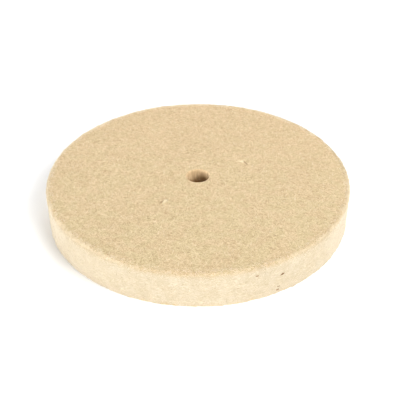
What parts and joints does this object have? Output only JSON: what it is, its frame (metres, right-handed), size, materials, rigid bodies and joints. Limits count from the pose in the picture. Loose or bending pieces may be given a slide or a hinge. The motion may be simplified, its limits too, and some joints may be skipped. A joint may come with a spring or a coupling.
{
  "type": "felt polishing wheel",
  "caption": "Thick flat disc of hard pressed wool felt with a square polishing rim and a plain arbor bore through its centre.",
  "frame": {"origin": "centre of the arbor bore in the plane of the lower face, on which the wheel lies", "axes": "+Z along the bore axis, from the lower face to the upper face; the wheel is round about Z, so X and Y are any two directions across it"},
  "size_m": [0.2032, 0.2032, 0.0254],
  "materials": {
    "wool_felt": "hard pressed wool felt, matt and finely fibrous, warm tan on the faces and paler cream on the cut rim"
  },
  "bodies": {
    "root": {"felt_disc": "wool_felt"}
  },
  "joints": []
}
